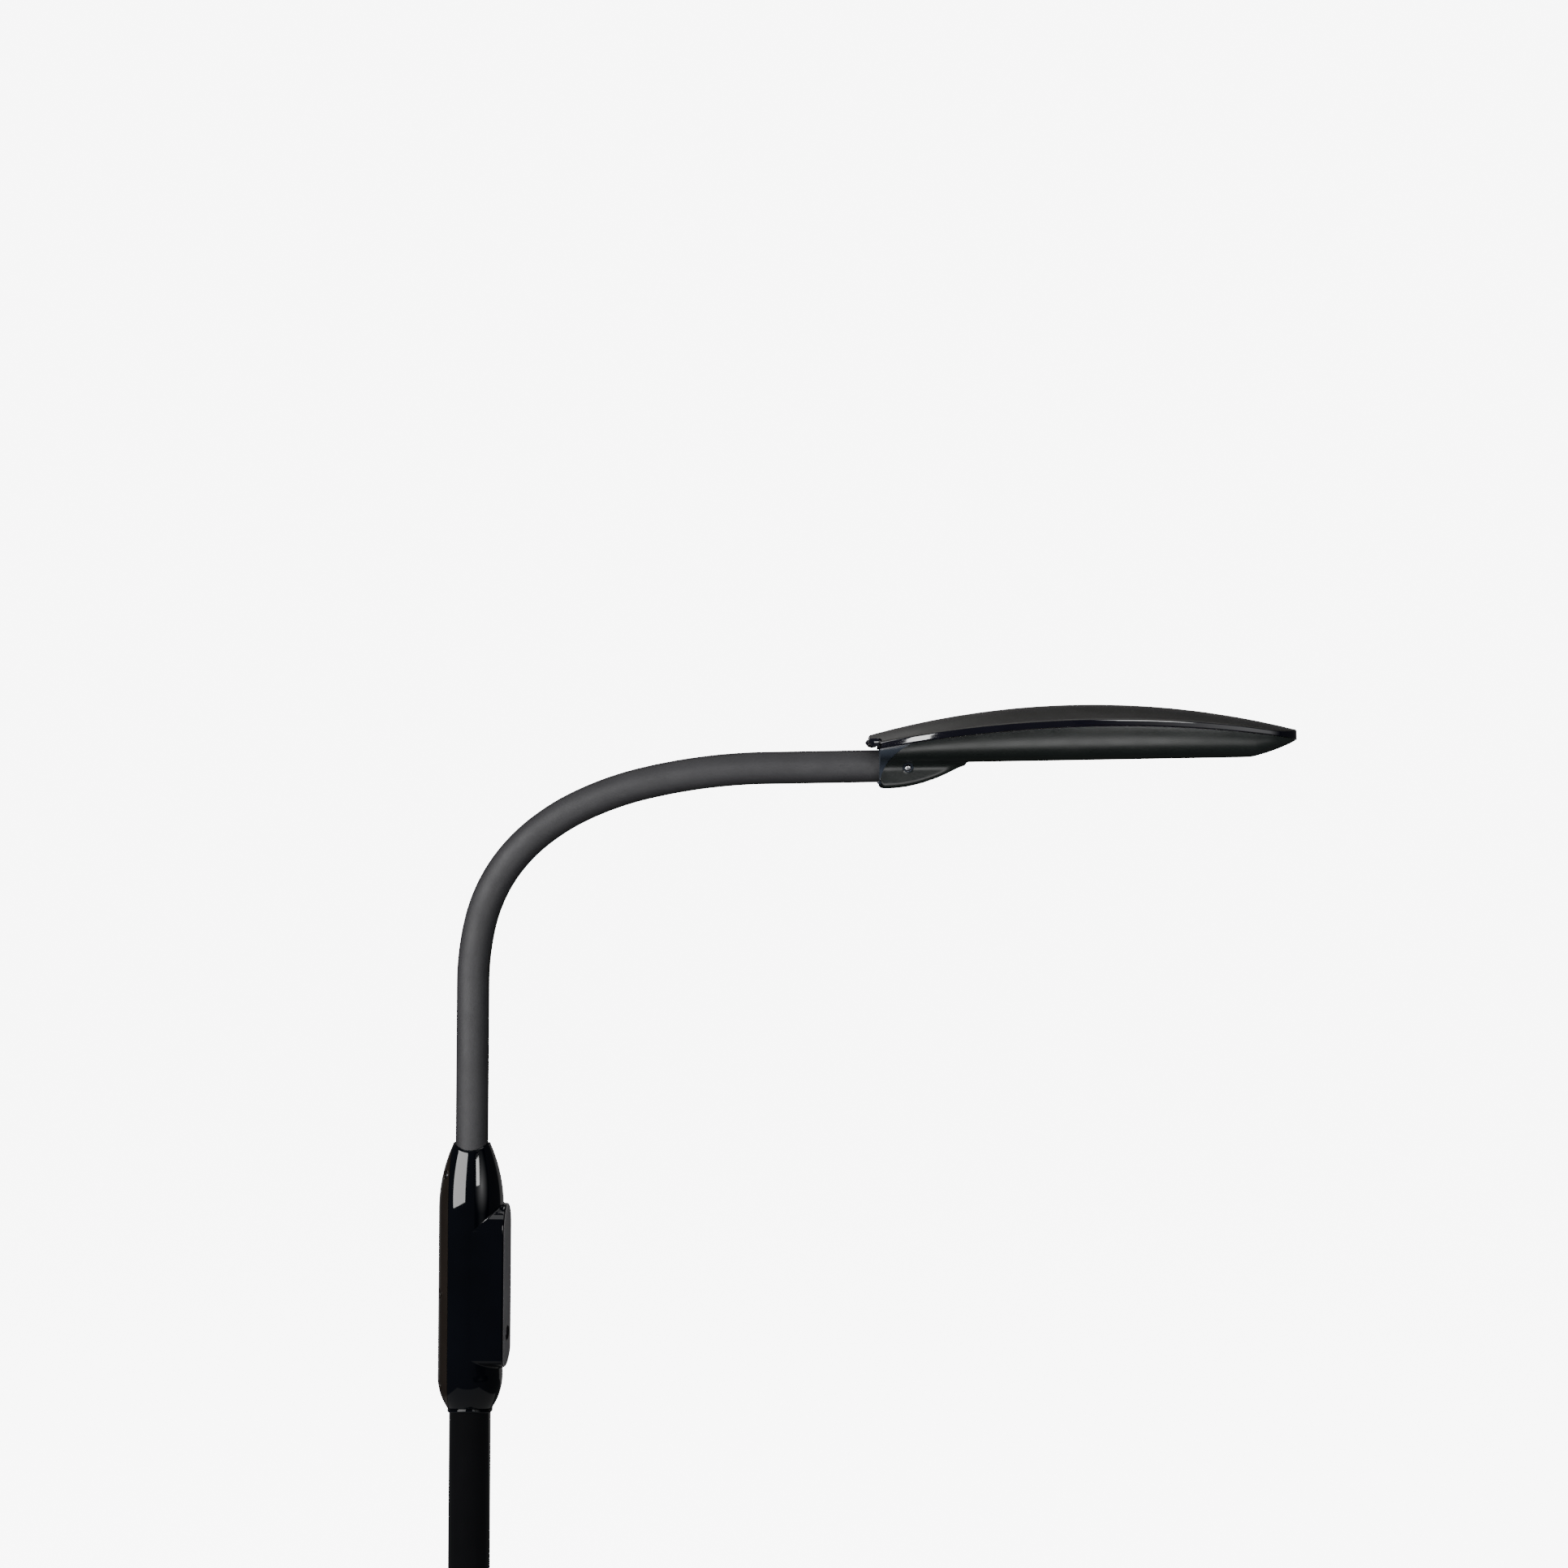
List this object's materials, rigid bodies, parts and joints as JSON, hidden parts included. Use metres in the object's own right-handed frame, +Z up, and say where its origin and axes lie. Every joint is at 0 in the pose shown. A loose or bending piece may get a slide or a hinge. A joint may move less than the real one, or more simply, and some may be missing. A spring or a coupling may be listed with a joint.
{
  "type": "floor lamp",
  "caption": "Floor lamp with a weighted round base, a straight pole, a control housing, a flexible neck and a long flat fluorescent head.",
  "frame": {"origin": "centre of the base pad's underside, on the pole's axis", "axes": "+Z up along the pole, +X towards the head and the front of the control housing, the lamp is symmetric across the XZ plane"},
  "size_m": [0.7751, 0.28, 1.2064],
  "materials": {
    "foot_rubber": "matt black rubber",
    "cast_iron": "as cast",
    "pole_paint": "gloss black paint",
    "collar_plastic": "gloss black",
    "gland_plastic": "matt black",
    "steel": "bright zinc-plated steel",
    "die_cast": "die-cast, satin",
    "lead_sheath": "black flexible sheath",
    "housing_plastic": "high gloss black",
    "panel_plastic": "satin grey",
    "button_plastic": "black",
    "module_plastic": "moulded black",
    "circuit_board": "green laminate",
    "choke_steel": "varnished laminations",
    "capacitor_sleeve": "blue sleeve",
    "neck_rubber": "smooth matt charcoal",
    "cover_plastic": "satin black with a gloss rim",
    "tray_plastic": "fine satin charcoal",
    "diffuser_acrylic": "opal white",
    "reflector_white": "gloss white",
    "lamp_glass": "white phosphor coated tube",
    "lamp_plastic": "white moulding"
  },
  "bodies": {
    "root": {"base_pad": "foot_rubber", "base_weight": "cast_iron", "base_cover": "pole_paint", "base_gland": "gland_plastic", "base_washer": "steel", "base_bolt": "steel", "pole_foot_insert": "die_cast", "pole_foot_collar": "pole_paint", "lower_pole": "pole_paint", "upper_pole": "pole_paint", "pole_joiner": "steel", "pole_adapter": "die_cast", "pole_collar_ring": "collar_plastic", "supply_lead": "lead_sheath", "control_panel": "panel_plastic", "housing_screws": "steel", "housing_front": "housing_plastic", "housing_back": "housing_plastic", "switch_module": "module_plastic", "button_spring": "steel", "ballast_board": "circuit_board", "ballast_choke": "choke_steel", "ballast_capacitors": "capacitor_sleeve", "wire_terminals": "module_plastic", "neck_socket": "steel", "neck_sleeve_0": "neck_rubber", "neck_core_0": "steel", "head_lead": "lead_sheath"},
    "button": {"power_button": "button_plastic"},
    "neck_link_1": {"neck_sleeve_1": "neck_rubber", "neck_core_1": "steel"},
    "neck_link_2": {"neck_sleeve_2": "neck_rubber", "neck_core_2": "steel"},
    "neck_link_3": {"neck_sleeve_3": "neck_rubber", "neck_core_3": "steel"},
    "neck_link_4": {"neck_sleeve_4": "neck_rubber", "neck_core_4": "steel"},
    "neck_link_5": {"neck_sleeve_5": "neck_rubber", "neck_core_5": "steel"},
    "neck_link_6": {"neck_sleeve_6": "neck_rubber", "neck_core_6": "steel"},
    "neck_link_7": {"neck_sleeve_7": "neck_rubber", "neck_core_7": "steel"},
    "neck_link_8": {"neck_sleeve_8": "neck_rubber", "neck_core_8": "steel"},
    "head": {"neck_sleeve_9": "neck_rubber", "neck_core_9": "steel", "head_cover": "cover_plastic", "head_tray": "tray_plastic", "tray_screws": "steel", "diffuser": "diffuser_acrylic", "reflector": "reflector_white", "lamp_tubes": "lamp_glass", "lamp_cap": "lamp_plastic", "lampholder": "lamp_plastic", "lamp_clip": "steel", "neck_end_fitting": "steel", "head_bracket": "steel", "cheek_screws": "steel"}
  },
  "joints": [
    {"name": "neck_sway", "type": "hinge", "parent": "root", "child": "neck_link_1", "pos_m": [0, 0, 0.897], "axis": [1, 0, 0], "range_deg": [-22.5, 22.5], "deforming": ["head_lead"]},
    {"name": "neck_sway_upper", "type": "hinge", "parent": "neck_link_1", "child": "neck_link_2", "pos_m": [0, 0, 0.958], "axis": [1, 0, 0], "range_deg": [-22.5, 22.5], "deforming": ["head_lead"]},
    {"name": "neck_bend", "type": "hinge", "parent": "neck_link_2", "child": "neck_link_3", "pos_m": [0.00126, 0, 1.01171], "axis": [0, 1, 0], "range_deg": [-12.66, 9.29], "deforming": ["head_lead"]},
    {"name": "neck_bend_2", "type": "hinge", "parent": "neck_link_3", "child": "neck_link_4", "pos_m": [0.00881, 0, 1.04757], "axis": [0, 1, 0], "range_deg": [-12.66, 9.29], "deforming": ["head_lead"]},
    {"name": "neck_bend_3", "type": "hinge", "parent": "neck_link_4", "child": "neck_link_5", "pos_m": [0.02041, 0, 1.07218], "axis": [0, 1, 0], "range_deg": [-12.66, 9.29], "deforming": ["head_lead"]},
    {"name": "neck_bend_4", "type": "hinge", "parent": "neck_link_5", "child": "neck_link_6", "pos_m": [0.03767, 0, 1.09417], "axis": [0, 1, 0], "range_deg": [-12.66, 9.29], "deforming": ["head_lead"]},
    {"name": "neck_bend_5", "type": "hinge", "parent": "neck_link_6", "child": "neck_link_7", "pos_m": [0.0635, 0, 1.11508], "axis": [0, 1, 0], "range_deg": [-12.66, 9.29], "deforming": ["head_lead"]},
    {"name": "neck_bend_6", "type": "hinge", "parent": "neck_link_7", "child": "neck_link_8", "pos_m": [0.10397, 0, 1.13495], "axis": [0, 1, 0], "range_deg": [-12.66, 9.29], "deforming": ["head_lead"]},
    {"name": "neck_bend_7", "type": "hinge", "parent": "neck_link_8", "child": "head", "pos_m": [0.17655, 0, 1.15191], "axis": [0, 1, 0], "range_deg": [-12.66, 9.29], "deforming": ["head_lead"]},
    {"name": "button_press", "type": "slide", "parent": "root", "child": "button", "axis": [-1, 0, 0], "range_m": [0, 0.0015], "stiffness_N_per_m": 400, "springref_m": -0.001, "deforming": ["button_spring"]}
  ]
}
